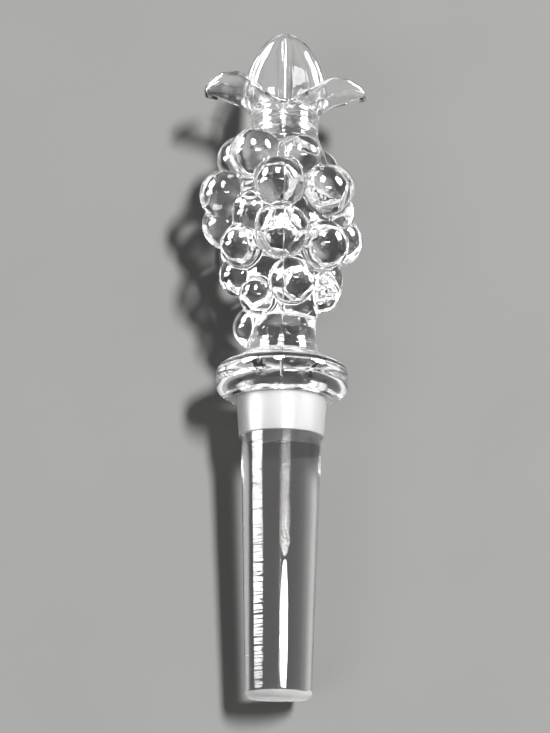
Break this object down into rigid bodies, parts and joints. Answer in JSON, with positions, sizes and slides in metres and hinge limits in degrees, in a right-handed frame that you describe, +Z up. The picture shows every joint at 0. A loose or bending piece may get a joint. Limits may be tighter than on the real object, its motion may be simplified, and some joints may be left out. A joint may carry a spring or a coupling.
{
  "type": "bottle stopper",
  "caption": "Clear cast glass bottle stopper lying on its side: tapered shank, milky sealing sleeve, round flange, bunch of grapes and a crown of curled leaves round a bud.",
  "frame": {"origin": "bottom centre of the bounding box of the stopper as it lies at rest on a level surface", "axes": "+Y along the stopper from the shank's ground end to the bud, +X to the right seen from the shank's end, +Z up"},
  "size_m": [0.0368, 0.1498, 0.0344],
  "materials": {
    "clear_glass": "fire polished, with a ground shank end",
    "milky_sleeve": "milky and softly translucent"
  },
  "bodies": {
    "root": {"glass_stopper_body": "clear_glass", "sealing_sleeve": "milky_sleeve"}
  },
  "joints": []
}
